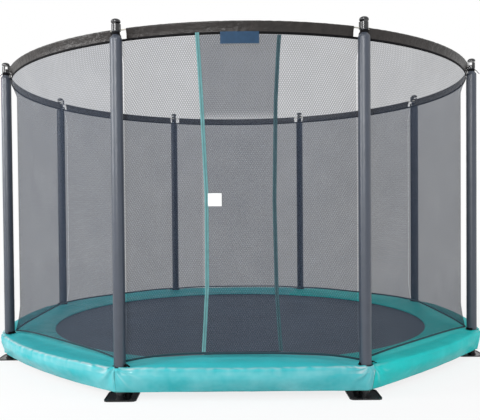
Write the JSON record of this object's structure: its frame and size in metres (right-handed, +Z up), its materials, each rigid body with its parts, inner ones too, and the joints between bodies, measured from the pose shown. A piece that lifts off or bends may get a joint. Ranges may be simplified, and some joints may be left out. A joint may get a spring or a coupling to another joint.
{
  "type": "trampoline",
  "caption": "Low round garden trampoline with padded edge and skirt on flat feet, inside a tall padded-pole enclosure with a curtained doorway in its net.",
  "frame": {"origin": "centre of the round at ground level", "axes": "+Z up, -Y through the doorway towards the front, +X to the right seen from the front"},
  "size_m": [3.776, 3.7396, 2.224],
  "materials": {
    "plate_paint": "matt black powder coat",
    "galvanised_tube": "hot-dip galvanised",
    "bracket_paint": "grey powder coat",
    "zinc_bolt": "zinc plated",
    "mat_weave": "woven polypropylene",
    "spring_wire": "zinc plated wire",
    "pad_cover": "semi-gloss coated cloth",
    "black_webbing": "woven webbing",
    "cap_plastic": "moulded, satin",
    "sleeve_cloth": "coated cloth over foam",
    "rod_fibreglass": "pultruded",
    "ring_cloth": "coated cloth",
    "net_mesh": "fine knitted mesh",
    "door_binding": "folded tape",
    "label_cloth": "plain woven label",
    "patch_cloth": "plain woven patch"
  },
  "bodies": {
    "frame": {"foot_plates": "plate_paint", "leg_joints": "galvanised_tube", "pole_brackets": "bracket_paint", "bracket_bolts": "zinc_bolt", "frame_front": "galvanised_tube", "frame_front_right": "galvanised_tube", "frame_right": "galvanised_tube", "frame_back_right": "galvanised_tube", "frame_back": "galvanised_tube", "frame_back_left": "galvanised_tube", "frame_left": "galvanised_tube", "frame_front_left": "galvanised_tube", "springs": "spring_wire", "pad_front": "pad_cover", "pad_front_right": "pad_cover", "pad_right": "pad_cover", "pad_back_right": "pad_cover", "pad_back": "pad_cover", "pad_back_left": "pad_cover", "pad_left": "pad_cover", "pad_front_left": "pad_cover", "pad_trims": "black_webbing", "poles_lower": "galvanised_tube", "poles_upper": "galvanised_tube", "pole_caps": "cap_plastic", "sleeve_0": "sleeve_cloth", "sleeve_1": "sleeve_cloth", "sleeve_2": "sleeve_cloth", "sleeve_3": "sleeve_cloth", "sleeve_4": "sleeve_cloth", "sleeve_5": "sleeve_cloth", "sleeve_6": "sleeve_cloth", "sleeve_7": "sleeve_cloth", "sleeve_seams": "black_webbing", "ring_rods": "rod_fibreglass", "rod_ferrules": "zinc_bolt", "ring_sleeve": "ring_cloth", "ring_binding": "black_webbing", "top_ties": "black_webbing", "net_front_inner": "net_mesh", "net_front_outer": "net_mesh", "net_front_right": "net_mesh", "net_right": "net_mesh", "net_back_right": "net_mesh", "net_back": "net_mesh", "net_back_left": "net_mesh", "net_left": "net_mesh", "net_front_left": "net_mesh", "net_hem": "black_webbing", "bottom_ties": "black_webbing", "door_edge_outer": "door_binding", "door_edge_inner": "door_binding", "door_tag": "label_cloth", "front_patch": "patch_cloth"},
    "mat": {"mat": "mat_weave", "mat_rings": "spring_wire"}
  },
  "joints": [
    {"name": "mat_bounce", "type": "slide", "parent": "frame", "child": "mat", "axis": [0, 0, 1], "range_m": [-0.12, 0], "stiffness_N_per_m": 9000, "springref_m": 0.06, "deforming": ["springs"]}
  ]
}
